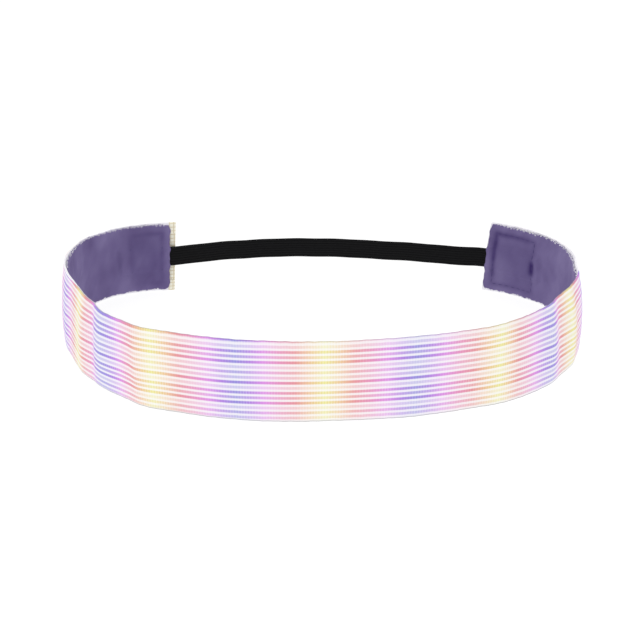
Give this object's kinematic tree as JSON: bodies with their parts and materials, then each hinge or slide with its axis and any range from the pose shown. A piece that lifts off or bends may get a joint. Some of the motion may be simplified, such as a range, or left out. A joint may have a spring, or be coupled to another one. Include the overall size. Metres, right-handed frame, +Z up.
{
  "type": "sports headband",
  "caption": "Sports headband: a hemmed printed band with a velvet lining, closed behind the head by a sewn-in braided elastic strap.",
  "frame": {"origin": "centre of the footprint, on the surface that the headband stands on, level with its lower edge", "axes": "+Z up from the lower edge to the upper edge, -Y to the forehead side, +Y to the elastic strap behind the head, +X to the right as seen from the forehead side"},
  "size_m": [0.2212, 0.1266, 0.034],
  "materials": {
    "printed_fabric": "matte",
    "velvet": "matte",
    "elastic": "matte",
    "white_thread": "satin",
    "purple_thread": "satin"
  },
  "bodies": {
    "band": {"printed_face": "printed_fabric", "velvet_lining": "velvet", "top_edge_stitching": "white_thread", "bottom_edge_stitching": "white_thread", "left_box_stitch": "purple_thread", "right_box_stitch": "purple_thread", "left_bar_tack": "purple_thread", "right_bar_tack": "purple_thread"},
    "strap": {"elastic_strap": "elastic"}
  },
  "joints": [
    {"name": "elastic_stretch", "type": "slide", "parent": "band", "child": "strap", "axis": [0, 1, 0], "range_m": [0, 0.06], "stiffness_N_per_m": 30, "deforming": ["elastic_strap"]}
  ]
}
